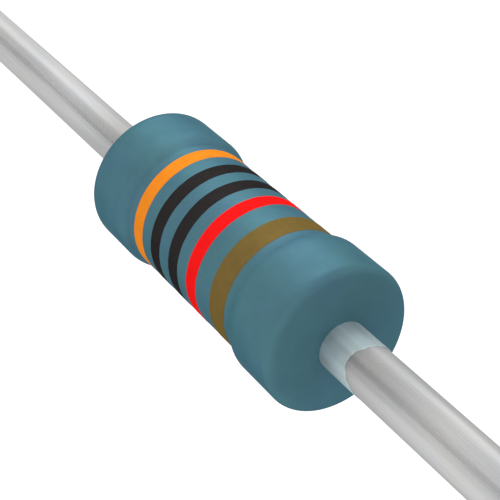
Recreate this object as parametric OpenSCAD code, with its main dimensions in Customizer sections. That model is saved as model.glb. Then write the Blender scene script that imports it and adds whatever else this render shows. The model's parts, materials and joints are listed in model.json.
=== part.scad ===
// Axial film resistor, laid along X with its origin at the middle of the body.
// It is drawn from the inside out: rod, film, caps, leads, coats, colour code.

/* [Ceramic rod] */
// Diameter of the ceramic rod
rod_diameter = 1.08; // [1:0.02:1.2]
// Length of the ceramic rod
rod_length = 3.18; // [3:0.02:3.6]
// Rounding of the rod's two edges
rod_edge = 0.05; // [0.02:0.01:0.08]

/* [Resistive film] */
// Thickness of the resistive film, far thicker than the real one so that it can be seen
film_thickness = 0.03; // [0.02:0.005:0.04]
// Axial width of the helical cut
cut_width = 0.06; // [0.04:0.01:0.1]
// Distance from one turn of the helical cut to the next
cut_pitch = 0.3; // [0.24:0.02:0.5]
// Uncut film left between each cap and the end of the cut
film_land = 0.15; // [0.1:0.01:0.3]

/* [End caps] */
// Thickness of each cap's wall
cap_wall = 0.065; // [0.05:0.005:0.08]
// Thickness of each cap's floor
cap_floor = 0.08; // [0.06:0.01:0.1]
// Length of each cap, from its rim to its outer face
cap_length = 0.615; // [0.5:0.005:0.7]
// Radius of the bend between a cap's wall and its floor
cap_bend = 0.09; // [0.06:0.01:0.11]

/* [Leads] */
// Diameter of each lead
lead_diameter = 0.5; // [0.4:0.01:0.55]
// Length over the tips of the two leads
overall_length = 26; // [12:0.5:60]
// Diameter of the weld collar where a lead meets its cap
weld_diameter = 0.7; // [0.6:0.02:0.8]
// Height of the weld collar
weld_height = 0.05; // [0.02:0.01:0.06]

/* [Coats] */
// Thickness of the pale first coat
undercoat_thickness = 0.035; // [0.02:0.005:0.05]
// Thickness of the blue outer coat
coat_thickness = 0.11; // [0.1:0.01:0.2]
// Radius of the shoulder where the coat drops from a cap to the waist
shoulder_radius = 0.16; // [0.12:0.01:0.2]
// Radius of the rounding at the rim of each end face
rim_radius = 0.06; // [0.03:0.01:0.1]
// Radius of the slight crown of each end face
crown_radius = 3.34; // [2.4:0.02:8]
// Length of lead that the first coat covers outside the body, at the middle of its slanting edge
runout_length = 0.47; // [0.3:0.01:0.8]
// Thickness of the first coat on the lead
runout_thickness = 0.01; // [0.005:0.005:0.02]
// Slant of the first coat's edge on the lead, in degrees
runout_slant = 22; // [0:1:25]
// Direction of the edge's far side round the lead, in degrees from +Z
runout_turn = 191; // [0:1:359]

/* [Colour code] */
// Width of the four narrow bands
band_width = 0.18; // [0.12:0.01:0.2]
// Gap between neighbouring narrow bands
band_gap = 0.18; // [0.12:0.01:0.2]
// Width of the wide tolerance band
tolerance_band_width = 0.27; // [0.2:0.01:0.3]
// Gap that sets the tolerance band apart from the others
tolerance_band_gap = 0.264; // [0.2:0.004:0.3]
// Thickness of the printed paint
band_thickness = 0.005; // [0.005:0.005:0.02]

/* [Hidden] */
$fn = 96;

ceramic_white = [0.93, 0.91, 0.86];
film_grey = [0.42, 0.40, 0.37];
cap_steel = [0.74, 0.75, 0.75];
tinned_wire = [0.76, 0.76, 0.77];
undercoat_grey = [0.66, 0.73, 0.74];
coat_blue = [0.29, 0.46, 0.51];
band_orange = [0.96, 0.58, 0.14];
band_black = [0.15, 0.14, 0.15];
band_red = [0.93, 0.11, 0.15];
band_brown = [0.50, 0.41, 0.20];

// Radii, from the axis outwards
rod_radius = rod_diameter / 2;
film_radius = rod_radius + film_thickness;
cap_radius = film_radius + cap_wall;
lead_radius = lead_diameter / 2;
weld_radius = weld_diameter / 2;
weld_cover = weld_height + undercoat_thickness;
runout_radius = lead_radius + runout_thickness;
waist_radius = film_radius + undercoat_thickness + coat_thickness;
bulge_radius = cap_radius + undercoat_thickness + coat_thickness;

// Stations along the axis, from the middle outwards
rod_end = rod_length / 2;
cap_face = rod_end + cap_floor;
cap_rim = cap_face - cap_length;
body_end = cap_face + undercoat_thickness + coat_thickness;
lead_end = overall_length / 2;
runout_end = body_end + runout_length;
runout_blank_end = runout_end + lead_diameter;

// The shoulder's arc meets the waist in a corner over the first coat's edge
corner_end = cap_rim - undercoat_thickness;
shoulder_rise = max(0, waist_radius - bulge_radius + shoulder_radius);
shoulder_end = corner_end + sqrt(shoulder_radius ^ 2 - shoulder_rise ^ 2);

// Each end face is part of a sphere, and the rim's rounding touches it from the inside
crown_centre = body_end - crown_radius;
rim_centre_radius = bulge_radius - rim_radius;
rim_centre = crown_centre + sqrt((crown_radius - rim_radius) ^ 2 - rim_centre_radius ^ 2);
crown_edge_radius = rim_centre_radius * crown_radius / (crown_radius - rim_radius);

// The helical cut runs between the lands, and its tool overshoots the film on both sides
cut_length = 2 * (cap_rim - film_land);
cut_turns = cut_length / cut_pitch;
cut_steps_per_turn = 32;
cut_steps = ceil(cut_turns * cut_steps_per_turn);
cut_overshoot = 0.03;
cut_inner_radius = rod_radius - cut_overshoot;
cut_outer_radius = film_radius + cut_overshoot;

// The bands lie side by side, centred on the waist
code_length = 4 * band_width + 3 * band_gap + tolerance_band_gap + tolerance_band_width;
first_band = -code_length / 2;
band_pitch = band_width + band_gap;
tolerance_band_start = -first_band - tolerance_band_width;

// Turns a profile about the X axis. In a profile, x is the radius and y is the station.
module turned() {
    rotate([0, 90, 0]) rotate_extrude() children();
}

// The half of a solid that points to -X, made from the half that points to +X
module left() {
    mirror([1, 0, 0]) children();
}

// Part of a profile between two stations, from the axis to a radius
module slab(radius, from, to) {
    translate([0, from]) square([radius, to - from]);
}

// Slab whose outer corners are rounded, each by its own radius
module barrel(radius, from, to, from_round, to_round) {
    slab(radius, from + from_round, to - to_round);
    slab(radius - from_round, from, to - to_round);
    slab(radius - to_round, from + from_round, to);
    if (from_round > 0)
        translate([radius - from_round, from + from_round]) circle(from_round);
    if (to_round > 0)
        translate([radius - to_round, to - to_round]) circle(to_round);
}

// Profile and its copy on the other side of the middle
module both_ends() {
    children();
    mirror([0, 1]) children();
}

// Outline of the rod, with its edges rounded
module rod_profile() {
    barrel(rod_radius, -rod_end, rod_end, rod_edge, rod_edge);
}

// Outline of one cap, filled to the axis
module cap_profile() {
    barrel(cap_radius, cap_rim, cap_face, 0, cap_bend);
}

// Outline of one lead with its weld collar
module lead_profile() {
    slab(lead_radius, cap_face, lead_end);
    slab(weld_radius - weld_height, cap_face, cap_face + weld_height);
    intersection() {
        translate([weld_radius - weld_height, cap_face]) circle(weld_height);
        slab(weld_radius, cap_face, cap_face + weld_height);
    }
}

// Outer outline of the first coat, which follows what it covers one thickness further out.
// On the leads it is a thin sleeve, a little longer than its slanting edge leaves it.
module undercoat_profile() {
    slab(film_radius + undercoat_thickness, -cap_rim, cap_rim);
    both_ends() {
        barrel(
            cap_radius + undercoat_thickness, cap_rim - undercoat_thickness,
            cap_face + undercoat_thickness, undercoat_thickness, cap_bend + undercoat_thickness
        );
        barrel(weld_radius + undercoat_thickness, cap_rim, cap_face + weld_cover, 0, weld_cover);
        slab(runout_radius, cap_rim, runout_blank_end);
    }
}

// Outer outline of one rounded end of the blue coat
module bulge_profile() {
    slab(bulge_radius, shoulder_end, rim_centre);
    slab(bulge_radius - shoulder_radius, shoulder_end - shoulder_radius, rim_centre);
    translate([bulge_radius - shoulder_radius, shoulder_end]) circle(shoulder_radius);
    translate([rim_centre_radius, rim_centre]) circle(rim_radius);
    intersection() {
        slab(crown_edge_radius, shoulder_end, body_end + rim_radius);
        translate([0, crown_centre]) circle(crown_radius);
    }
}

// Block that trims the sleeve on one lead to its slanting edge
module runout_trim() {
    translate([runout_end, 0, 0])
        rotate([runout_turn, 0, 0])
            rotate([0, runout_slant, 0])
                translate([0, -lead_diameter, -lead_diameter])
                    cube(2 * lead_diameter);
}

// One ring of four points of the cutting tool, at step i along the helix
function cut_ring(i) =
    let (
        turn = 360 * cut_turns * i / cut_steps,
        station = cut_length * (i / cut_steps - 0.5)
    )
    [
        for (corner = [[-1, cut_inner_radius], [1, cut_inner_radius], [1, cut_outer_radius],
                [-1, cut_outer_radius]])
            [station + corner.x * cut_width / 2, corner.y * cos(turn), corner.y * sin(turn)]
    ];

// Tool that cuts the film: a rectangle carried along a right-handed helix
module helical_cut() {
    points = [for (i = [0 : cut_steps]) each cut_ring(i)];
    sides = [
        for (i = [0 : cut_steps - 1], k = [0 : 3])
            [4 * i + k, 4 * i + 4 + k, 4 * i + 4 + (k + 1) % 4, 4 * i + (k + 1) % 4]
    ];
    first_end = [0, 1, 2, 3];
    last_end = [for (k = [3 : -1 : 0]) 4 * cut_steps + k];
    polyhedron(points, concat([first_end], sides, [last_end]), convexity = 10);
}

// Thin ring of paint on the waist, starting at a station
module paint_ring(start, width) {
    turned() translate([waist_radius, start]) square([band_thickness, width]);
}

// Film of metal round the rod, cut through along the helix
module cut_film() {
    difference() {
        turned() translate([rod_radius, rod_edge - rod_end])
            square([film_thickness, 2 * (rod_end - rod_edge)]);
        helical_cut();
    }
}

module ceramic_rod() {
    color(ceramic_white) turned() rod_profile();
}

// Metal film whose helical cut sets its resistance
module resistive_film() {
    color(film_grey) cut_film();
}

// Pressed steel cup, pushed over the end of the coated rod
module end_cap() {
    color(cap_steel) turned() difference() {
        cap_profile();
        slab(film_radius, 0, rod_end);
    }
}

module left_end_cap() {
    left() end_cap();
}

module right_end_cap() {
    end_cap();
}

// Round wire with a collar where it is welded to the cap
module lead() {
    color(tinned_wire) turned() lead_profile();
}

module left_lead() {
    left() lead();
}

module right_lead() {
    lead();
}

// Pale first coat, which fills the helical cut and runs out along both leads
module undercoat() {
    color(undercoat_grey) difference() {
        turned() difference() {
            undercoat_profile();
            slab(rod_radius, -cap_rim, cap_rim);
            both_ends() {
                cap_profile();
                lead_profile();
            }
        }
        cut_film();
        runout_trim();
        left() runout_trim();
    }
}

// Blue outer coat, dipped over the first one
module coating() {
    color(coat_blue) turned() difference() {
        union() {
            slab(waist_radius, -shoulder_end, shoulder_end);
            both_ends() bulge_profile();
        }
        undercoat_profile();
    }
}

module first_digit_band() {
    color(band_orange) paint_ring(first_band, band_width);
}

module second_digit_band() {
    color(band_black) paint_ring(first_band + band_pitch, band_width);
}

module third_digit_band() {
    color(band_black) paint_ring(first_band + 2 * band_pitch, band_width);
}

module multiplier_band() {
    color(band_red) paint_ring(first_band + 3 * band_pitch, band_width);
}

module tolerance_band() {
    color(band_brown) paint_ring(tolerance_band_start, tolerance_band_width);
}

ceramic_rod();
resistive_film();
left_end_cap();
right_end_cap();
left_lead();
right_lead();
undercoat();
coating();
first_digit_band();
second_digit_band();
third_digit_band();
multiplier_band();
tolerance_band();
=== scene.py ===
"""Axial film resistor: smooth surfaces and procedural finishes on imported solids, and a studio."""

import json
import math

import bpy
import numpy as np
from mathutils import Matrix, Vector

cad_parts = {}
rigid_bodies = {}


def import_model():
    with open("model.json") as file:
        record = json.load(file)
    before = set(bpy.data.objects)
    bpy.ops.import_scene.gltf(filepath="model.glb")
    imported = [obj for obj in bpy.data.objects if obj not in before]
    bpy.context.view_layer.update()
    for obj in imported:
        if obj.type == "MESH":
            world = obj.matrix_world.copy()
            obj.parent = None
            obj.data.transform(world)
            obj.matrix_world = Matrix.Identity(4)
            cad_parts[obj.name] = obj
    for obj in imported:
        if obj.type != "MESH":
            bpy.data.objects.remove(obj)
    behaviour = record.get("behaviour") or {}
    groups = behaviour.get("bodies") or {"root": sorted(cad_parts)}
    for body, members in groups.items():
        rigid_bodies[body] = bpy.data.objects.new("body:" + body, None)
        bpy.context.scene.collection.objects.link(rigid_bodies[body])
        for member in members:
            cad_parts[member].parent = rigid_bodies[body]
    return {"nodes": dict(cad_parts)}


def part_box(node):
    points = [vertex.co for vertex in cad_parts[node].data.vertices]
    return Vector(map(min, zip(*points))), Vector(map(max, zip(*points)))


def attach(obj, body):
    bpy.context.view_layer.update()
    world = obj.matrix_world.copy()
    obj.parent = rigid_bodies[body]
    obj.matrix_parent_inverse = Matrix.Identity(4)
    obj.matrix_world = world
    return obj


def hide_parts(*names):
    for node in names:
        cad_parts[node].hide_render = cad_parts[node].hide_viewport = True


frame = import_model()

bl_info = {
    "name": "Axial resistor",
    "version": (1, 0, 0),
    "blender": (4, 5, 0),
    "location": "View3D > Sidebar > Resistor",
    "description": "Coats, colour code, wire leads and studio of a small axial film resistor",
    "category": "Object",
}

MM = 0.001
BODY = "root"
ROUND = 2 * math.pi
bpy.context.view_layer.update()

# Directions to a turn, in the pieces of the body and in the wires
BODY_STEPS = 288
WIRE_STEPS = 144

# Bends of more than this many degrees stay sharp, in any piece and in the coat's soft shading
SHARP_BEND = 32
SHARP_COAT_BEND = 60

# Each printed band's node, slot and colour
BANDS = [
    ("first_digit_band", "orange_paint", "orange"),
    ("second_digit_band", "black_paint", "black"),
    ("third_digit_band", "black_paint", "black"),
    ("multiplier_band", "red_paint", "red"),
    ("tolerance_band", "brown_paint", "brown"),
]

# Share of each paint's shading that is a metal's, which has no white gloss and darkens at the edges
PAINT_METALLIC = {"orange": 0.2, "black": 0.4, "red": 0.2, "brown": 0.3}

# A band's edge: for each wave its number to a turn, its share, and how far the band's own shift and
# the side's shift move it
BAND_WAVES = [(3, 1.0, 1, 0), (7, 0.6, 2, 0), (19, 0.45, 3, 1), (41, 0.3, 0, 1)]
BAND_SHIFT = 2.4
SIDE_SHIFTS = (0, 1.7)

# The paint's soft edge: the share of its thickness at the foot, and the steps from there up
SKIRT_SHARE = 0.35
SKIRT_STEPS = 6

# The run-out's edge: cosine and sine of its waves once, twice and so on round the wire, in mm, and
# for each of its fine waves the number to a turn, the share and the phase
RUNOUT_WAVES = [(0.022, -0.0622), (0.003, 0.0203), (0.0031, -0.0325), (-0.0045, -0.0026)]
RUNOUT_FINE = [(11, 1.0, 0.6), (17, 0.7, 2.1), (29, 0.5, 0.0)]
RUNOUT_FINE_HEIGHT = 0.004

# The coat in the helical cut: its steps, and how much of the coat over the film it reaches into
RIB_STEPS, RIB_REACH = 432, 0.3

# A cut tip: how deep the cutter's mark goes, in radii of the rounded edge, which way it tilts, in
# radians, and its ripple's height, lobes and swirl
CUT_DEPTH = 4
CUT_TILT = 0.8
RIPPLE_HEIGHT, RIPPLE_LOBES, RIPPLE_SWIRL = 0.12, 5, 9

# The bare copper core, in mm: the squares of the radii between which it fades out, and how far
# before the tip it starts and is fully bare
CORE_SQUARES, CORE_START, CORE_BARE = (0.0475, 0.0530), 0.022, 0.010

# Stretches in mm from the middle: of the wires from their level in the painted shade beside the
# body to their bright one, and of the first coat from its root's tone to its edge's
PAINTED_SHADE_STRETCH, PAINTED_SHADE_LEVELS = (2.0, 3.9), (0.74, 1.06)
ROOT_STRETCH = (1.86, 2.24)

# Tints of the wires' warm and cool patches, and of the film's tempered ones
WARM, COOL, TEMPERED = (1.008, 1.0, 0.988), (0.990, 0.997, 1.010), (1.18, 1.06, 0.86)

# Each lamp's direction, as its turn in degrees and its lean, its width in metres, and the starts of
# the names of the pieces that it lights
LAMPS = {
    "wire lamp": (14, 0.87, 0.27, ("tinned_", "first_coat")),
    "body lamp": (68, 0.63, 0.20, ("blue_coat", "printed_")),
}
LAMP_DISTANCE = 0.3
LAMP_STRETCH = 1.6

# The grey card, in metres along X, in degrees round it and in metres from it, and the tones of its
# lower and upper edges
CARD_ALONG, CARD_TURN, CARD_RADIUS = (-0.60, 0.02), (123, 154), 0.15
CARD_TONES = (0.74, 1.0)

# The dark sheet, in metres along X and Y and above the floor, and the tones of its edges
SHEET_ALONG, SHEET_ACROSS, SHEET_RISE = (0.024, 0.18), (0.004, 0.16), 0.001
SHEET_TONES = (0.10, 0.10)

# The floor: its radius in metres, its rings and the steps to each, its tone, and how much it glows
# where the camera or a reflection sees it, so that it is white there
FLOOR_RADIUS, FLOOR_RINGS, FLOOR_STEPS = 2.0, 24, 96
FLOOR_TONE, FLOOR_GLOW = 0.8, 0.38

# The camera: the width of its sensor in mm, and the distances in metres between which it sees
SENSOR_WIDTH, NEAREST, FURTHEST = 36.0, 0.0005, 10.0


def far_corner(node):
    """Highest corner of a node's box, from which the defaults take the node's size."""
    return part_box(node)[1]


def outer_radius(node):
    """Radius of a node that is round about X, from the wider of its box's two half widths."""
    return max(far_corner(node).y, far_corner(node).z)


def length(name, about, default):
    """A length in metres, shown to a thousandth of a millimetre."""
    return bpy.props.FloatProperty(
        name=name, description=about, default=default, precision=6,
        unit="LENGTH", subtype="DISTANCE",
    )


def share(name, about, default):
    """A share from 0 to 1."""
    return bpy.props.FloatProperty(
        name=name, description=about, default=default, min=0.0, max=1.0, subtype="FACTOR",
    )


def power(name, about, default):
    """A lamp's power in watts."""
    return bpy.props.FloatProperty(
        name=name, description=about, default=default, min=0.0, unit="POWER",
    )


def tone(name, about, default):
    """A colour, in linear light."""
    return bpy.props.FloatVectorProperty(
        name=name, description=about, default=default, size=3, min=0.0, max=1.0, subtype="COLOR",
    )


def angle(name, about, degrees):
    """An angle, given in degrees and kept in radians."""
    return bpy.props.FloatProperty(
        name=name, description=about, default=math.radians(degrees),
        unit="ROTATION", subtype="ANGLE",
    )


class BodySizes(bpy.types.PropertyGroup):
    """Sizes of the two coats and of what they cover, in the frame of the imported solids."""

    rod_radius: length("Rod radius", "Outside of the ceramic rod", outer_radius("ceramic_rod"))
    film_radius: length("Film radius", "Outside of the metal film", outer_radius("resistive_film"))
    cut_width: length("Cut width", "Width of the helical cut in the film", 0.06 * MM)
    cut_pitch: length("Cut pitch", "Distance between turns of the helical cut", 0.3 * MM)
    cut_length: length("Cut length", "Length of the helical cut", 1.81 * MM)
    cap_radius: length("Cap radius", "Outside of each end cap", outer_radius("right_end_cap"))
    cap_rim: length("Cap rim", "Station where each cap begins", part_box("right_end_cap")[0].x)
    cap_face: length("Cap face", "Station of each cap's outer face", far_corner("right_end_cap").x)
    cap_bend: length("Cap bend", "Radius of the bend at each cap's floor", 0.09 * MM)
    first_coat: length("First coat", "Thickness of the pale first coat", 0.035 * MM)
    waist_radius: length("Waist radius", "Outside of the blue coat at the waist", 0.715 * MM)
    bulge_radius: length("Bulge radius", "Outside of the coat over a cap", outer_radius("coating"))
    shoulder_radius: length("Shoulder radius", "Arc from a bulge down to the waist", 0.16 * MM)
    shoulder_station: length("Shoulder station", "Start of a bulge's straight side", 1.14874 * MM)
    rim_radius: length("Rim radius", "Rounding between side and end face", 0.06 * MM)
    rim_station: length("Rim station", "Centre of the rim's rounding", 1.675 * MM)
    crown_radius: length("Crown radius", "Sphere that each end face belongs to", 3.34 * MM)
    rim_reach: length("Rim reach", "Reach of the coat's softened shading at its rims", 0.034 * MM)
    shoulder_reach: length("Shoulder reach", "The same at the shoulders and the waist", 0.07 * MM)


class LeadSizes(bpy.types.PropertyGroup):
    """Sizes of the wire leads and of the first coat's run-out on them."""

    wire_radius: length("Wire radius", "Radius of each wire", 0.25 * MM)
    tip: length("Tip", "Station of each wire's tip", far_corner("right_lead").x)
    tip_edge: length("Tip edge", "Rounding left by the cutter at each tip", 0.02 * MM)
    weld_radius: length("Weld radius", "Radius of the weld collar", outer_radius("right_lead"))
    weld_height: length("Weld height", "Height of the weld collar", 0.05 * MM)
    runout_radius: length("Run-out radius", "Outside of the first coat on a wire", 0.254 * MM)
    runout_middle: length("Run-out middle", "Mean station of the run-out's edge", 2.258 * MM)


class CodeSizes(bpy.types.PropertyGroup):
    """Form of the printed bands."""

    paint_radius: length(
        "Paint radius", "Outside of the paint, which is thinner than the bands' solids",
        outer_radius("first_digit_band") - 0.0025 * MM,
    )
    soft_edge: length("Soft edge", "Width over which the paint thins out at an edge", 0.01 * MM)
    wander: length("Wander", "How far a band's edge wanders", 0.0016 * MM)


class Finishes(bpy.types.PropertyGroup):
    """Colours of the finishes."""

    coat: tone("Blue coat", "Teal-blue lacquer", (0.0805, 0.182, 0.237))
    coat_green: tone("Blue coat, greener", "Tone that it drifts to", (0.0785, 0.187, 0.222))
    orange: tone("Orange", "Paint of the first band", (0.885, 0.267, 0.021))
    black: tone("Black", "Paint of the second and third bands", (0.030, 0.0265, 0.0270))
    red: tone("Red", "Paint of the fourth band", (0.925, 0.0125, 0.0125))
    brown: tone("Gold-brown", "Paint of the tolerance band", (0.186, 0.126, 0.037))
    first_coat: tone("First coat", "Pale first coat at its edge on a wire", (0.489, 0.586, 0.603))
    first_coat_root: tone("First coat, root", "Pale first coat by the body", (0.350, 0.425, 0.456))
    tin: tone("Tin", "Plating of the wires", (0.50, 0.50, 0.50))
    copper: tone("Copper", "Core of the wires, bare at the cut tips", (0.70, 0.32, 0.18))
    steel: tone("Steel", "End caps", (0.42, 0.42, 0.43))
    ceramic: tone("Ceramic", "Rod", (0.82, 0.79, 0.72))
    film: tone("Film", "Resistive metal film", (0.16, 0.145, 0.13))


class Studio(bpy.types.PropertyGroup):
    """Camera, lamps and floor."""

    azimuth: angle("Azimuth", "Direction of the view round the upright axis", 58.451)
    elevation: angle("Elevation", "Height of the view above the horizon", 33.307)
    lens: bpy.props.FloatProperty(
        name="Lens", description="Focal length", default=101.0, unit="CAMERA",
    )
    camera_x: length("Camera X", "Camera's place along X", 10.029 * MM)
    camera_y: length("Camera Y", "Camera's place along Y", -6.034 * MM)
    camera_z: length("Camera Z", "Camera's place along Z", 7.718 * MM)
    floor_depth: length("Floor depth", "How far the floor lies under the axis", 30 * MM)
    surround: share("Surround", "Strength of the studio's even light", 1.0)
    wire_lamp: power("Wire lamp", "Power of the soft lamp that lights the wires", 0.19)
    body_lamp: power("Body lamp", "Power of the soft lamp that lights the coat and the bands", 0.32)


GROUPS = {
    "resistor_body": BodySizes,
    "resistor_leads": LeadSizes,
    "resistor_code": CodeSizes,
    "resistor_finishes": Finishes,
    "resistor_studio": Studio,
}


def line(start, end, count):
    """Points (station, radius) that divide a straight line evenly, without its end."""
    t = np.arange(count)[:, None] / count
    return np.array(start) * (1 - t) + np.array(end) * t


def arc(centre, radius, start, end, count):
    """Points (station, radius) of an arc between two angles in degrees, without its end."""
    turn = np.radians(start + (end - start) * np.arange(count) / count)
    return np.array(centre) + radius * np.column_stack([np.cos(turn), np.sin(turn)])


def mirrored(half):
    """Closed outline: half, from the middle out and back to it, then its mirror image reversed."""
    return np.vstack([half, (half * (-1, 1))[::-1][1:-1]])


def directions(steps):
    """Angles that divide a turn evenly, from +Y towards +Z."""
    return ROUND * np.arange(steps) / steps


def spun(outline, steps):
    """Grids of stations and of radii that carry an outline unchanged through steps directions."""
    return [np.repeat(outline[:, k, None], steps, axis=1) for k in (0, 1)]


def grid_places(station, radius):
    """Point (i, j) is station[i, j] along X and radius[i, j] from it, in direction j of a turn."""
    turn = directions(station.shape[1])
    places = np.stack([station, radius * np.cos(turn), radius * np.sin(turn)], axis=-1)
    return places.reshape(-1, 3)


def grid_faces(rows, columns, closed):
    """Quads between neighbours of a grid. Its columns wrap round, and its rows too if closed."""
    i = np.arange(rows if closed else rows - 1)[:, None]
    j = np.arange(columns)[None, :]
    below, after = (i + 1) % rows, (j + 1) % columns
    corners = [i * columns + j, below * columns + j, below * columns + after, i * columns + after]
    return np.stack(corners, axis=-1).reshape(-1, 4)


def outward(places, blocks):
    """Faces turned so that their volume, the sum of the cones from the origin, is positive."""
    volume = 0.0
    for block in blocks:
        corners = places[block]
        for k in range(1, block.shape[1] - 1):
            volume += np.sum(corners[:, 0] * np.cross(corners[:, k], corners[:, k + 1]))
    return places, [block if volume > 0 else block[:, ::-1] for block in blocks]


def ring_shell(station, radius):
    """Closed ring: an outline, one column of the grids for each direction, swept once round X."""
    return outward(grid_places(station, radius), [grid_faces(*station.shape, True)])


def spindle_shell(station, radius):
    """Closed spindle: an open outline swept once round X, with a pole and a fan at each end."""
    rows, columns = station.shape
    poles = [[station[0].mean(), 0, 0], [station[-1].mean(), 0, 0]]
    places = np.vstack([grid_places(station, radius), poles])
    j = np.arange(columns)
    after, last_row = (j + 1) % columns, (rows - 1) * columns
    first_pole = np.full(columns, rows * columns)
    first_fan = np.column_stack([first_pole, j, after])
    last_fan = np.column_stack([first_pole + 1, last_row + after, last_row + j])
    return outward(places, [grid_faces(rows, columns, False), first_fan, last_fan])


def swept_shell(corners):
    """Closed bar: corners[i, k] is corner k of its section at step i. Both ends are flat faces."""
    steps, sides, _ = corners.shape
    k = np.arange(sides)
    ends = np.array([k[::-1], (steps - 1) * sides + k])
    return outward(corners.reshape(-1, 3), [grid_faces(steps, sides, False), ends])


def soft_normals(outline, columns, reach):
    """Normals for the corners of a swept ring: its outline's own, averaged between sharp bends.

    The share of each side of the outline falls with its distance as a bell curve does, whose width
    is the reach given for the side's place.
    """
    sides = np.roll(outline, -1, axis=0) - outline
    lengths = np.hypot(*sides.T)
    facing = np.column_stack([-sides[:, 1], sides[:, 0]]) / lengths[:, None]
    turned = np.sum(facing * np.roll(facing, 1, axis=0), axis=1)
    bend = np.degrees(np.arccos(np.clip(turned, -1, 1)))
    group = np.cumsum(bend > SHARP_COAT_BEND)
    ends = np.cumsum(lengths)
    middles = ends - lengths / 2
    pairs = []
    for places in (ends - lengths, ends):
        away = (places[:, None] - middles) / reach[:, None]
        weight = lengths * np.exp(-0.5 * away ** 2) * (group[:, None] == group)
        mean = weight @ facing
        pairs.append(mean / np.hypot(*mean.T)[:, None])
    turn = directions(columns)
    after = np.roll(turn, -1)
    corners = []
    for pair, way in ((0, turn), (1, turn), (1, after), (0, after)):
        along, out = pairs[pair].T[:, :, None]
        corners.append(np.stack([along + 0 * way, out * np.cos(way), out * np.sin(way)], axis=-1))
    return np.stack(corners, axis=2).reshape(-1, 4, 3)


def new_object(name, places, faces, material):
    """Object of one mesh, in the scene."""
    mesh = bpy.data.meshes.new(name)
    mesh.from_pydata(places.tolist(), [], faces)
    mesh.materials.append(material)
    made = bpy.data.objects.new(name, mesh)
    bpy.context.scene.collection.objects.link(made)
    return made


def new_piece(name, shells, material):
    """One mesh object from closed shells, smooth except where faces meet at a sharp bend."""
    places, faces, start = [], [], 0
    for shell_places, blocks in shells:
        places.append(shell_places)
        for block in blocks:
            faces += (block + start).tolist()
        start += len(shell_places)
    piece = new_object(name, np.vstack(places), faces, material)
    piece.data.polygons.foreach_set("use_smooth", np.ones(len(faces), bool))
    piece.data.set_sharp_from_angle(angle=math.radians(SHARP_BEND))
    return piece


def dress(piece, node):
    """Hides a node's solid and puts a piece in its place, on the part's one body."""
    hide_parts(node)
    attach(piece, BODY)


class Finish:
    """Node tree of a procedural finish, whose patterns read the object's own coordinates in mm."""

    def __init__(self, name, **principled):
        self.material = bpy.data.materials.new(name)
        self.material.use_nodes = True
        self.tree = self.material.node_tree
        self.tree.nodes.clear()
        self.shader = self.node("ShaderNodeBsdfPrincipled", **principled)
        output = self.node("ShaderNodeOutputMaterial")
        self.tree.links.new(self.shader.outputs[0], output.inputs[0])
        self.place = self.scaled(self.node("ShaderNodeTexCoord").outputs["Object"], 1 / MM)
        parts = self.node("ShaderNodeSeparateXYZ", Vector=self.place)
        self.along, self.across, self.up = parts.outputs

    def node(self, kind, settings=None, **values):
        """New node with its settings, and its inputs set or linked by name, or by number as i0."""
        made = self.tree.nodes.new(kind)
        for key, value in (settings or {}).items():
            setattr(made, key, value)
        for key, value in values.items():
            number = key[1:].isdigit()
            self.put(made.inputs[int(key[1:]) if number else key.replace("_", " ")], value)
        return made

    def put(self, socket, value):
        """Links a socket to another, or sets its value, and gives a plain colour full opacity."""
        if isinstance(value, bpy.types.NodeSocket):
            self.tree.links.new(value, socket)
        elif socket.type == "RGBA":
            socket.default_value = (*value[:3], 1.0)
        else:
            socket.default_value = value

    def scaled(self, vector, factor):
        """Vector times a number or socket."""
        settings = {"operation": "SCALE"}
        return self.node("ShaderNodeVectorMath", settings, i0=vector, Scale=factor).outputs[0]

    def maths(self, operation, first, second=0.0):
        """One operation of arithmetic on numbers or sockets."""
        return self.node("ShaderNodeMath", {"operation": operation}, i0=first, i1=second).outputs[0]

    def plus(self, first, second):
        """Sum of two numbers or sockets."""
        return self.maths("ADD", first, second)

    def times(self, first, second):
        """Product of two numbers or sockets."""
        return self.maths("MULTIPLY", first, second)

    def noise(self, scale, detail=2.0, rough=0.5, vector=None):
        """Soft noise of about 0.5 on average, with scale cells to a millimetre."""
        vector = vector or self.place
        values = {"Vector": vector, "Scale": scale, "Detail": detail, "Roughness": rough}
        return self.node("ShaderNodeTexNoise", **values).outputs[0]

    def streak(self, along, across, detail=3.0, rough=0.5):
        """Noise with one number of cells to a millimetre along X and another across it."""
        cells = (along, across, across)
        settings = {"operation": "MULTIPLY"}
        vector = self.node("ShaderNodeVectorMath", settings, i0=self.place, i1=cells).outputs[0]
        return self.noise(1.0, detail, rough, vector)

    def between(self, value, low, high, to_low=0.0, to_high=1.0):
        """Value carried from one range to another, smoothly and without leaving it."""
        made = self.node(
            "ShaderNodeMapRange", {"interpolation_type": "SMOOTHSTEP"},
            Value=value, From_Min=low, From_Max=high, To_Min=to_low, To_Max=to_high,
        )
        return made.outputs[0]

    def levels(self, pattern, spread, low=0.0, high=1.0):
        """Pattern carried to low and high, which it reaches at a spread each side of 0.5."""
        return self.between(pattern, 0.5 - spread, 0.5 + spread, low, high)

    def mixed(self, factor, first, second):
        """Colour that goes from first to second with factor."""
        made = self.node("ShaderNodeMix", {"data_type": "RGBA"}, i0=factor, i6=first, i7=second)
        return made.outputs[2]

    def colour(self, value):
        """Gives the shader its colour."""
        self.put(self.shader.inputs["Base Color"], value)

    def rough(self, value):
        """Gives the shader its roughness."""
        self.put(self.shader.inputs["Roughness"], value)

    def relief(self, height, depth, under=None):
        """Relief of a depth in millimetres, laid over another one, on the shader."""
        made = self.node("ShaderNodeBump", Strength=1.0, Distance=depth * MM, Height=height)
        if under is not None:
            self.tree.links.new(under, made.inputs["Normal"])
        self.put(self.shader.inputs["Normal"], made.outputs[0])
        return made.outputs[0]


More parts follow.
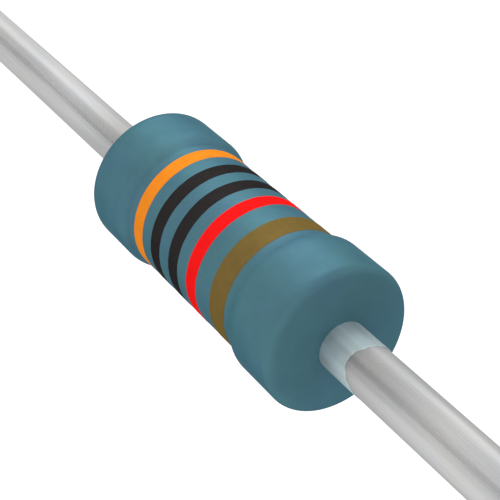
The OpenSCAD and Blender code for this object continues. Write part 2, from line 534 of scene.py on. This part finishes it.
def plainly_seen(tree):
    """Socket that is 1 on the rays by which the camera, metal and glass see the background."""
    path = tree.nodes.new("ShaderNodeLightPath")
    seen = path.outputs["Is Camera Ray"]
    for ray in ("Is Glossy Ray", "Is Transmission Ray"):
        total = tree.nodes.new("ShaderNodeMath")
        total.operation, total.use_clamp = "ADD", True
        tree.links.new(seen, total.inputs[0])
        tree.links.new(path.outputs[ray], total.inputs[1])
        seen = total.outputs[0]
    return seen


def tinted(colour, tint):
    """Colour with each of its channels times the tint's."""
    return tuple(c * k for c, k in zip(colour, tint))


def lacquer_finish(tones):
    """Satin teal lacquer: slow drift between two tones, faint cloud and grain, and orange peel."""
    finish = Finish(
        "teal lacquer", Metallic=0.4, Specular_IOR_Level=0.0, Specular_Tint=(0.24, 0.26, 0.28),
    )
    drift = finish.levels(finish.noise(1.4), spread=0.14)
    cloud = finish.levels(finish.noise(3.2, detail=3.0), spread=0.25, low=0.955, high=1.045)
    grain = finish.levels(finish.noise(42.0), spread=0.3, low=0.975, high=1.025)
    base = finish.mixed(drift, tones.coat, tones.coat_green)
    finish.colour(finish.scaled(base, finish.times(cloud, grain)))
    finish.rough(finish.levels(finish.noise(6.0), spread=0.2, low=0.41, high=0.49))
    peel = finish.relief(finish.noise(7.5), depth=0.0022)
    finish.relief(finish.noise(60.0), depth=0.00025, under=peel)
    return finish.material


def paint_finish(name, colour, metallic):
    """Printed paint: pigment mottle, faint drag lines round the body and a drying skin's relief."""
    finish = Finish(
        name, Metallic=metallic, Specular_IOR_Level=0.0, Specular_Tint=(0.24, 0.24, 0.24),
    )
    mottle = finish.levels(finish.noise(9.0, detail=3.0), spread=0.25, low=0.95, high=1.05)
    drag = finish.levels(finish.streak(along=60.0, across=2.5), spread=0.2, low=0.975, high=1.02)
    finish.colour(finish.scaled(tuple(colour), finish.times(mottle, drag)))
    finish.rough(finish.levels(finish.noise(14.0), spread=0.2, low=0.50, high=0.60))
    skin = finish.relief(finish.noise(16.0, detail=3.0), depth=0.0009)
    finish.relief(drag, depth=0.0004, under=skin)
    return finish.material


def streaks(finish):
    """Broad and fine streaks along a drawn wire."""
    return finish.streak(along=0.5, across=9.0), finish.streak(along=0.35, across=38.0, rough=0.6)


def wire_finish(tones, leads):
    """Tinned copper wire: streaks, warm and cool patches, painted shade beside the body, bare at
    the tips.
    """
    finish = Finish("tinned wire", Metallic=1.0, Specular_Tint=(0.565, 0.565, 0.565))
    broad, fine = streaks(finish)
    reach = finish.maths("ABSOLUTE", finish.along)
    level = finish.times(
        finish.levels(broad, spread=0.2, low=0.93, high=1.05),
        finish.levels(fine, spread=0.25, low=0.96, high=1.04),
    )
    # Painted shade and painted reflection of the body: the wire's colour darkens towards the body
    # along a ragged line
    ragged = finish.plus(reach, finish.times(broad, 0.4))
    level = finish.times(level, finish.between(ragged, *PAINTED_SHADE_STRETCH, *PAINTED_SHADE_LEVELS))
    patches = finish.levels(finish.streak(along=1.6, across=5.0, detail=2.0), spread=0.15)
    base = finish.mixed(patches, tinted(tones.tin, WARM), tinted(tones.tin, COOL))
    tin = finish.scaled(base, level)
    # The copper core shows on a tip's face, out to where the cutter has smeared the tin over it
    square = finish.plus(
        finish.times(finish.across, finish.across), finish.times(finish.up, finish.up),
    )
    smear = finish.times(finish.maths("SUBTRACT", finish.noise(9.0, detail=3.0), 0.5), 0.03)
    core = finish.between(finish.plus(square, smear), *CORE_SQUARES, to_low=1.0, to_high=0.0)
    tip = leads.tip / MM
    bare = finish.times(core, finish.between(reach, tip - CORE_START, tip - CORE_BARE))
    finish.colour(finish.mixed(bare, tin, tones.copper))
    finish.rough(finish.levels(fine, spread=0.25, low=0.23, high=0.29))
    first = finish.relief(broad, depth=0.006)
    finish.relief(fine, depth=0.0005, under=first)
    return finish.material


def first_coat_finish(tones):
    """Thin pale lacquer: greyer at the body, paler at its edge, with the wire's streaks in it."""
    finish = Finish(
        "pale first coat", Metallic=0.4, Specular_IOR_Level=0.0, Specular_Tint=(0.36, 0.38, 0.4),
    )
    broad, fine = streaks(finish)
    reach = finish.maths("ABSOLUTE", finish.along)
    # The coat's colour is greyer towards the body and paler towards its edge, along a wavy line
    wavy_reach = finish.plus(reach, finish.times(finish.noise(5.0), 0.16))
    towards_edge = finish.between(wavy_reach, *ROOT_STRETCH)
    base = finish.mixed(towards_edge, tones.first_coat_root, tones.first_coat)
    level = finish.times(
        finish.levels(broad, spread=0.2, low=0.86, high=1.10),
        finish.levels(fine, spread=0.25, low=0.96, high=1.04),
    )
    finish.colour(finish.scaled(base, level))
    finish.rough(finish.levels(finish.noise(8.0), spread=0.2, low=0.38, high=0.5))
    first = finish.relief(broad, depth=0.004)
    finish.relief(finish.noise(12.0), depth=0.0012, under=first)
    return finish.material


def ceramic_finish(tones):
    """Fired alumina: speckled off-white with open pores and a dry, fine-grained skin."""
    finish = Finish("alumina", Specular_IOR_Level=0.35)
    cloud = finish.levels(finish.noise(2.5, detail=3.0), spread=0.25, low=0.94, high=1.03)
    speck = finish.between(finish.noise(26.0, detail=3.0, rough=0.7), 0.30, 0.44, to_low=0.80)
    finish.colour(finish.scaled(tuple(tones.ceramic), finish.times(cloud, speck)))
    finish.rough(finish.between(speck, 0.8, 1.0, to_low=0.85, to_high=0.66))
    pores = finish.relief(speck, depth=0.002)
    finish.relief(finish.noise(90.0), depth=0.0007, under=pores)
    return finish.material


def film_finish(tones):
    """Sputtered metal film: dark satin grey that follows the rod's grain, faintly tempered."""
    finish = Finish("metal film", Metallic=1.0)
    tint = finish.levels(finish.noise(1.8, detail=3.0), spread=0.2)
    base = finish.mixed(tint, tones.film, tinted(tones.film, TEMPERED))
    grain = finish.levels(finish.noise(48.0, detail=3.0), spread=0.25, low=0.9, high=1.1)
    finish.colour(finish.scaled(base, grain))
    finish.rough(finish.levels(finish.noise(20.0), spread=0.2, low=0.36, high=0.5))
    finish.relief(finish.noise(70.0, detail=3.0), depth=0.0008)
    return finish.material


def steel_finish(tones):
    """Pressed steel cap: draw marks along the wall, faint oxide clouds and small dents."""
    finish = Finish("pressed steel", Metallic=1.0)
    marks = finish.streak(along=3.0, across=34.0, rough=0.6)
    cloud = finish.levels(finish.noise(4.0, detail=3.0), spread=0.25, low=0.88, high=1.06)
    level = finish.times(cloud, finish.levels(marks, spread=0.25, low=0.92, high=1.06))
    finish.colour(finish.scaled(tuple(tones.steel), level))
    finish.rough(finish.levels(marks, spread=0.25, low=0.28, high=0.44))
    drawn = finish.relief(marks, depth=0.0012)
    finish.relief(finish.noise(11.0), depth=0.0018, under=drawn)
    return finish.material


def covered_outline(body, leads, gap):
    """Half outline of what the first coat lies on, gap further out.

    It runs out along the film, up a cap's rim, along its wall, round its bend, down its floor and
    round the weld collar's quarter circle to the wire.
    """
    film, rim = body.film_radius + gap, body.cap_rim - gap
    wall, floor = body.cap_radius + gap, body.cap_face + gap
    bend = body.cap_bend + gap
    collar = leads.weld_height + gap
    collar_centre = leads.weld_radius - leads.weld_height
    start = math.degrees(math.asin(gap / collar))
    foot = collar_centre + collar * math.cos(math.radians(start))
    weld_top = body.cap_face + collar
    parts = [
        line((0, film), (rim, film), count=12),
        line((rim, film), (rim, wall - gap), count=2),
    ]
    if gap > 0:
        parts.append(arc((body.cap_rim, wall - gap), gap, 180, 90, count=8))
    parts += [
        line((body.cap_rim, wall), (floor - bend, wall), count=6),
        arc((floor - bend, wall - bend), bend, 90, 0, count=16),
        line((floor, wall - bend), (floor, foot), count=4),
        arc((body.cap_face, collar_centre), collar, start, 90, count=12),
        line((weld_top, collar_centre), (weld_top, leads.wire_radius), count=2),
    ]
    return np.vstack(parts)


def coat_outline(body, leads):
    """Closed outline of the blue coat.

    Its half runs out along the waist, up the shoulder's arc, along the bulge, round the rim's arc
    and down the end face's large circle to the wire, in along the run-out, and back over the first
    coat.
    """
    rim, crown, shoulder = body.rim_radius, body.crown_radius, body.shoulder_radius
    waist, bulge, hole = body.waist_radius, body.bulge_radius, leads.runout_radius
    shoulder_start, rim_start = body.shoulder_station, body.rim_station
    crown_reach = math.sqrt((crown - rim) ** 2 - (bulge - rim) ** 2)
    crown_centre = rim_start - crown_reach
    rim_turn = math.degrees(math.atan2(bulge - rim, crown_reach))
    hole_turn = math.degrees(math.asin(hole / crown))
    face = crown_centre + crown * math.cos(math.radians(hole_turn))
    low = waist - bulge + shoulder
    corner_turn = 180 - math.degrees(math.asin(low / shoulder))
    corner = shoulder_start - math.sqrt(shoulder ** 2 - low ** 2)
    weld_top = body.cap_face + body.first_coat + leads.weld_height
    inner = covered_outline(body, leads, body.first_coat)
    return mirrored(np.vstack([
        line((0, waist), (corner, waist), count=24),
        arc((shoulder_start, bulge - shoulder), shoulder, corner_turn, 90, count=24),
        line((shoulder_start, bulge), (rim_start, bulge), count=12),
        arc((rim_start, bulge - rim), rim, 90, rim_turn, count=18),
        arc((crown_centre, 0), crown, rim_turn, hole_turn, count=20),
        line((face, hole), (weld_top, hole), count=2),
        [(weld_top, hole)],
        inner[inner[:, 1] > hole][::-1],
    ]))


def runout_edge(turn, leads):
    """Station of the run-out's edge in each direction: its middle, its slow waves and fine ones."""
    slow = sum(
        c * np.cos((k + 1) * turn) + s * np.sin((k + 1) * turn)
        for k, (c, s) in enumerate(RUNOUT_WAVES)
    )
    fine = sum(part * np.sin(count * turn + phase) for count, part, phase in RUNOUT_FINE)
    return leads.runout_middle + MM * (slow + RUNOUT_FINE_HEIGHT * fine)


class PieceOperator:
    """What the operators that make pieces share: they run at any time and can be undone."""

    bl_options = {"REGISTER", "UNDO"}


class RESISTOR_OT_coating(PieceOperator, bpy.types.Operator):
    """Make the blue outer coat"""

    bl_idname = "resistor.coating"
    bl_label = "Blue coat"

    def execute(self, context):
        scene = context.scene
        body = scene.resistor_body
        outline = coat_outline(body, scene.resistor_leads)
        places, (faces,) = ring_shell(*spun(outline, BODY_STEPS))
        material = lacquer_finish(scene.resistor_finishes)
        piece = new_piece("blue_coat", [(places, [faces])], material)
        reach = np.interp(
            np.abs(outline[:, 0]),
            [body.shoulder_station, body.rim_station - 2 * body.rim_radius],
            [body.shoulder_reach, body.rim_reach],
        )
        normals = soft_normals(outline, BODY_STEPS, reach)
        # Faces that were turned over have their corners in reverse, and so their normals too
        if faces[0, 0] != 0:
            normals = normals[:, ::-1]
        piece.data.normals_split_custom_set(normals.reshape(-1, 3).tolist())
        dress(piece, "coating")
        return {"FINISHED"}


class RESISTOR_OT_first_coat(PieceOperator, bpy.types.Operator):
    """Make the pale first coat, with its run-outs on the wires and its rib in the helical cut"""

    bl_idname = "resistor.first_coat"
    bl_label = "First coat"

    def execute(self, context):
        scene = context.scene
        body, leads = scene.resistor_body, scene.resistor_leads
        shells = [ring_shell(*self.skin(body, leads)), self.rib(body)]
        piece = new_piece("first_coat", shells, first_coat_finish(scene.resistor_finishes))
        dress(piece, "undercoat")
        return {"FINISHED"}

    def skin(self, body, leads):
        """Grids of the coat's outline: a half with one run-out, then the other half in reverse.

        A half goes out over what the coat covers and along the wire to the run-out's edge, rounds
        the edge by the coat's thickness there, and comes back along the wire and under the coat.
        """
        steps = BODY_STEPS
        outer = covered_outline(body, leads, body.first_coat)
        outer = outer[outer[:, 1] > leads.runout_radius]
        inner = covered_outline(body, leads, 0.0)
        inner = inner[inner[:, 1] > leads.wire_radius]
        sleeve_start = body.cap_face + body.first_coat + leads.weld_height
        weld_top = body.cap_face + leads.weld_height
        coat = leads.runout_radius - leads.wire_radius
        # Shares of the way along the sleeve, and the angles at which its lip rounds off
        shares = np.array([0.0, 0.3, 0.6, 0.85, 0.96])[:, None]
        rounding = np.radians([90, 60, 30, 0])[:, None]
        edge = runout_edge(directions(steps), leads)
        halves = []
        for sign in (1, -1):
            out_station, out_radius = spun(outer * (sign, 1), steps)
            in_station, in_radius = spun((inner * (sign, 1))[::-1], steps)
            sleeve = sign * (sleeve_start + shares * (edge - coat - sleeve_start))
            lip_station = sign * (edge - coat + coat * np.cos(rounding))
            lip_radius = np.repeat(leads.wire_radius + coat * np.sin(rounding), steps, axis=1)
            weld_station = np.full((1, steps), sign * weld_top)
            weld_radius = np.full((1, steps), leads.wire_radius)
            sleeve_radius = np.full(sleeve.shape, leads.runout_radius)
            halves.append((
                np.vstack([out_station, sleeve, lip_station, weld_station, in_station]),
                np.vstack([out_radius, sleeve_radius, lip_radius, weld_radius, in_radius]),
            ))
        return [np.vstack([right, left[::-1][1:-1]]) for right, left in zip(*halves)]

    def rib(self, body):
        """The coat in the helical cut: a rectangle carried along a right-handed helix.

        Its station grows evenly, by one pitch for each turn.
        """
        turns = body.cut_length / body.cut_pitch
        t = np.linspace(0, 1, RIB_STEPS + 1)[:, None]
        half, inner = body.cut_width / 2, body.rod_radius
        outer = body.film_radius + RIB_REACH * body.first_coat
        offset = np.array([-half, half, half, -half])
        radius = np.array([inner, inner, outer, outer])
        turn = ROUND * turns * t
        station = body.cut_length * (t - 0.5) + offset
        corners = [station, radius * np.cos(turn), radius * np.sin(turn)]
        return swept_shell(np.stack(corners, axis=-1))


class RESISTOR_OT_leads(PieceOperator, bpy.types.Operator):
    """Make both tinned wire leads, with their weld collars and cut tips"""

    bl_idname = "resistor.leads"
    bl_label = "Wire leads"

    def execute(self, context):
        scene = context.scene
        leads = scene.resistor_leads
        outline = self.outline(scene.resistor_body, leads)
        material = wire_finish(scene.resistor_finishes, leads)
        for node, sign in (("left_lead", -1), ("right_lead", 1)):
            station, radius = spun(outline * (sign, 1), WIRE_STEPS)
            station = self.cut(station, radius / leads.wire_radius, leads, sign)
            piece = new_piece("tinned_" + node, [spindle_shell(station, radius)], material)
            dress(piece, node)
        return {"FINISHED"}

    def outline(self, body, leads):
        """Open outline: up the cap's face, round the weld collar, along the wire, down its tip."""
        weld_centre = leads.weld_radius - leads.weld_height
        weld_top = body.cap_face + leads.weld_height
        wire, edge, tip = leads.wire_radius, leads.tip_edge, leads.tip
        hub = 0.1 * wire
        return np.vstack([
            line((body.cap_face, hub), (body.cap_face, leads.weld_radius), count=6),
            arc((body.cap_face, weld_centre), leads.weld_height, 0, 90, count=10),
            line((weld_top, weld_centre), (weld_top, wire), count=2),
            line((weld_top, wire), (tip - edge, wire), count=60),
            arc((tip - edge, wire - edge), edge, 90, 0, count=6),
            line((tip, wire - edge), (tip, 0.0), count=8),
        ])

    def cut(self, station, out, leads, sign):
        """Stations with the tip cut a little out of square, and its face slightly wavy.

        What is taken off grows with the square of the nearness to the tip. It is a tilt, linear
        across the face, and the size of a wave that swirls round it. Out is each point's share of
        the wire's radius.
        """
        turn, depth = directions(WIRE_STEPS), CUT_DEPTH * leads.tip_edge
        near_tip = np.clip((np.abs(station) - (leads.tip - depth)) / depth, 0, 1) ** 2
        tilt = 0.5 + 0.5 * out * np.sin(turn + CUT_TILT * sign)
        ripple = RIPPLE_HEIGHT * np.sin(RIPPLE_LOBES * turn + RIPPLE_SWIRL * out) * out
        return station - sign * near_tip * leads.tip_edge * (tilt + np.abs(ripple))


class RESISTOR_OT_bands(PieceOperator, bpy.types.Operator):
    """Print the five bands of the colour code"""

    bl_idname = "resistor.bands"
    bl_label = "Colour code"

    def execute(self, context):
        scene = context.scene
        body, code, tones = scene.resistor_body, scene.resistor_code, scene.resistor_finishes
        materials = {}
        for index, (node, slot, colour) in enumerate(BANDS):
            if slot not in materials:
                paint = getattr(tones, colour)
                name = slot.replace("_", " ")
                materials[slot] = paint_finish(name, paint, PAINT_METALLIC[colour])
            ring = ring_shell(*self.band(node, BAND_SHIFT * index, body, code))
            piece = new_piece("printed_" + node, [ring], materials[slot])
            dress(piece, node)
        return {"FINISHED"}

    def band(self, node, shift, body, code):
        """Grids of a band: between its edges, which wander by waves, the paint rises to its level.

        Near an edge its thickness grows as 1 less the square of what is left of the soft edge.
        """
        turn = directions(BODY_STEPS)
        low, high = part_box(node)
        left, right = (
            place + code.wander * sum(
                part * np.sin(count * turn + own * shift + other * side)
                for count, part, own, other in BAND_WAVES
            )
            for place, side in zip((low.x, high.x), SIDE_SHIFTS)
        )
        ramp = np.linspace(0, 1, SKIRT_STEPS)
        skirt = SKIRT_SHARE + (1 - SKIRT_SHARE) * (1 - (1 - ramp) ** 2)
        inset = code.soft_edge * ramp
        station = np.vstack([
            left + inset[:, None], right - inset[::-1][:, None], right[None, :], left[None, :],
        ])
        rise = np.concatenate([skirt, skirt[::-1], [0.0, 0.0]])
        radius = body.waist_radius + (code.paint_radius - body.waist_radius) * rise
        return station, np.repeat(radius[:, None], BODY_STEPS, axis=1)


class RESISTOR_OT_inner_parts(PieceOperator, bpy.types.Operator):
    """Finish the rod, the film and the two caps, whose solids stay as they are"""

    bl_idname = "resistor.inner_parts"
    bl_label = "Inner parts"

    def execute(self, context):
        tones = context.scene.resistor_finishes
        steel = steel_finish(tones)
        finishes = {
            "ceramic_rod": ceramic_finish(tones),
            "resistive_film": film_finish(tones),
            "left_end_cap": steel,
            "right_end_cap": steel,
        }
        for node, material in finishes.items():
            mesh = frame["nodes"][node].data
            mesh.materials.clear()
            mesh.materials.append(material)
        return {"FINISHED"}


class RESISTOR_OT_studio(bpy.types.Operator):
    """Set up the floor, the lamps, the surround and the camera"""

    bl_idname = "resistor.studio"
    bl_label = "Studio"

    def execute(self, context):
        studio = context.scene.resistor_studio
        context.scene.view_settings.view_transform = "Standard"
        self.lay_floor(studio)
        self.light_surround(context, studio)
        self.hang_lamp("wire lamp", studio.wire_lamp)
        self.hang_lamp("body lamp", studio.body_lamp)
        self.place_card()
        self.lay_sheet(studio)
        self.place_camera(context, studio)
        return {"FINISHED"}

    def lay_floor(self, studio):
        """Wide level floor: rings of points whose radii grow with the square of their number."""
        rings, steps = FLOOR_RINGS, FLOOR_STEPS
        reach = FLOOR_RADIUS * (np.arange(1, rings + 1)[:, None] / rings) ** 2
        turn = directions(steps)
        height = np.full((rings, steps), -studio.floor_depth)
        places = np.stack([reach * np.cos(turn), reach * np.sin(turn), height], axis=-1)
        places = np.vstack([places.reshape(-1, 3), [[0, 0, -studio.floor_depth]]])
        j = np.arange(steps)
        middle = np.column_stack([np.full(steps, rings * steps), j, (j + 1) % steps])
        faces = [*grid_faces(rings, steps, False).tolist(), *middle.tolist()]
        finish = Finish("studio floor", Roughness=0.9, Specular_IOR_Level=0.1)
        clouds = finish.levels(finish.noise(0.02), spread=0.2, low=0.99, high=1.0)
        finish.colour(finish.scaled((FLOOR_TONE,) * 3, clouds))
        finish.put(finish.shader.inputs["Emission Color"], (1, 1, 1))
        glow = finish.times(plainly_seen(finish.tree), FLOOR_GLOW)
        finish.put(finish.shader.inputs["Emission Strength"], glow)
        floor = new_object("floor", places, faces, finish.material)

    def light_surround(self, context, studio):
        """Even light from all round, which the camera and glossy surfaces see as plain white."""
        world = bpy.data.worlds.new("surround")
        context.scene.world = world
        world.use_nodes = True
        tree = world.node_tree
        tree.nodes.clear()
        strength = tree.nodes.new("ShaderNodeMapRange")
        strength.inputs["To Min"].default_value = studio.surround
        strength.inputs["To Max"].default_value = 1.0
        tree.links.new(plainly_seen(tree), strength.inputs["Value"])
        background = tree.nodes.new("ShaderNodeBackground")
        background.inputs["Color"].default_value = (1, 1, 1, 1)
        tree.links.new(strength.outputs[0], background.inputs["Strength"])
        output = tree.nodes.new("ShaderNodeOutputWorld")
        tree.links.new(background.outputs[0], output.inputs["Surface"])

    def hang_lamp(self, name, watts):
        """Soft lamp behind the part, flagged so that it lights only its own pieces.

        Its direction from the part has the share lean towards -X, and the rest of it is turned from
        +Y towards +Z.
        """
        turn, lean, width, lit = LAMPS[name]
        lamp = bpy.data.lights.new(name, "AREA")
        lamp.shape, lamp.energy = "RECTANGLE", watts
        lamp.size, lamp.size_y = width, LAMP_STRETCH * width
        holder = bpy.data.objects.new(name, lamp)
        side, turn = math.sqrt(1 - lean ** 2), math.radians(turn)
        toward = Vector((-lean, side * math.cos(turn), side * math.sin(turn)))
        holder.location = toward * LAMP_DISTANCE
        holder.rotation_mode = "QUATERNION"
        holder.rotation_quaternion = (-toward).to_track_quat("-Z", "Y")
        holder.visible_camera = False
        bpy.context.scene.collection.objects.link(holder)
        pieces = bpy.data.collections.new("under the " + name)
        for piece in bpy.context.scene.objects:
            if piece.name.startswith(lit):
                pieces.objects.link(piece)
        holder.light_linking.receiver_collection = pieces

    def place_card(self):
        """Grey card that puts the dark stripe on the wires: a strip along X, bowed about it."""
        along = np.linspace(*CARD_ALONG, 24)
        station, turn = np.meshgrid(along, np.radians(np.linspace(*CARD_TURN, 9)), indexing="ij")
        across = [CARD_RADIUS * np.cos(turn), CARD_RADIUS * np.sin(turn)]
        self.stand_sheet("grey_card", np.stack([station, *across], axis=-1), CARD_TONES)

    def lay_sheet(self, studio):
        """Dark sheet over the floor beyond the near wire, which keeps the end face's tone down."""
        along, aside = np.linspace(*SHEET_ALONG, 13), np.linspace(*SHEET_ACROSS, 17)
        station, across = np.meshgrid(along, aside, indexing="ij")
        level = np.full(station.shape, SHEET_RISE - studio.floor_depth)
        self.stand_sheet("dark_sheet", np.stack([station, across, level], axis=-1), SHEET_TONES)

    def stand_sheet(self, name, places, tones):
        """Matt grey sheet on a grid of places, toned from its lower edge to its upper one.

        Only glossy surfaces see it, so it neither shows in the view nor darkens the floor.
        """
        rows, columns, _ = places.shape
        corner = (np.arange(rows - 1)[:, None] * columns + np.arange(columns - 1)).ravel()
        faces = corner[:, None] + [0, columns, columns + 1, 1]
        finish = Finish(name.replace("_", " "), Roughness=0.9, Specular_IOR_Level=0.0)
        fibres = finish.levels(finish.noise(0.5, detail=3.0), spread=0.2, low=0.97, high=1.0)
        # A millimetre more keeps the range open on a level sheet
        low, high = places[..., 2].min() / MM, places[..., 2].max() / MM + 1
        shade = finish.between(finish.up, low, high, *tones)
        finish.colour(finish.scaled((1, 1, 1), finish.times(fibres, shade)))
        sheet = new_object(name, places.reshape(-1, 3), faces.tolist(), finish.material)
        sheet.visible_camera = sheet.visible_diffuse = sheet.visible_shadow = False

    def place_camera(self, context, studio):
        """Camera at its place, turned to the view's direction with no roll and no shift."""
        azimuth, elevation = studio.azimuth, studio.elevation
        level = math.cos(elevation)
        back = Vector((
            math.sin(azimuth) * level, -math.cos(azimuth) * level, math.sin(elevation),
        ))
        right = Vector((math.cos(azimuth), math.sin(azimuth), 0))
        axes = Matrix((right, back.cross(right), back)).transposed()
        place = Matrix.Translation((studio.camera_x, studio.camera_y, studio.camera_z))
        data = bpy.data.cameras.new("camera")
        data.lens, data.sensor_width = studio.lens, SENSOR_WIDTH
        data.clip_start, data.clip_end = NEAREST, FURTHEST
        camera = bpy.data.objects.new("camera", data)
        camera.matrix_world = place @ axes.to_4x4()
        context.scene.collection.objects.link(camera)
        context.scene.camera = camera


OPERATORS = [
    RESISTOR_OT_coating,
    RESISTOR_OT_first_coat,
    RESISTOR_OT_leads,
    RESISTOR_OT_bands,
    RESISTOR_OT_inner_parts,
    RESISTOR_OT_studio,
]


class RESISTOR_PT_panel(bpy.types.Panel):
    """Lists what makes the resistor and its studio."""

    bl_idname = "RESISTOR_PT_panel"
    bl_label = "Axial resistor"
    bl_space_type = "VIEW_3D"
    bl_region_type = "UI"
    bl_category = "Resistor"

    def draw(self, context):
        for operator in OPERATORS:
            self.layout.operator(operator.bl_idname)
        for name, group in GROUPS.items():
            box = self.layout.box()
            for key in group.__annotations__:
                box.prop(getattr(context.scene, name), key)


def register():
    """Registers the groups of values, the operators and the panel."""
    for name, group in GROUPS.items():
        bpy.utils.register_class(group)
        setattr(bpy.types.Scene, name, bpy.props.PointerProperty(type=group))
    for made in (*OPERATORS, RESISTOR_PT_panel):
        bpy.utils.register_class(made)


def unregister():
    """Takes back what register did, in reverse."""
    for made in (RESISTOR_PT_panel, *reversed(OPERATORS)):
        bpy.utils.unregister_class(made)
    for name, group in GROUPS.items():
        delattr(bpy.types.Scene, name)
        bpy.utils.unregister_class(group)


def main():
    """Makes the pieces and the studio in order."""
    register()
    for operator in OPERATORS:
        group, action = operator.bl_idname.split(".")
        getattr(getattr(bpy.ops, group), action)()


if __name__ == "__main__":
    main()
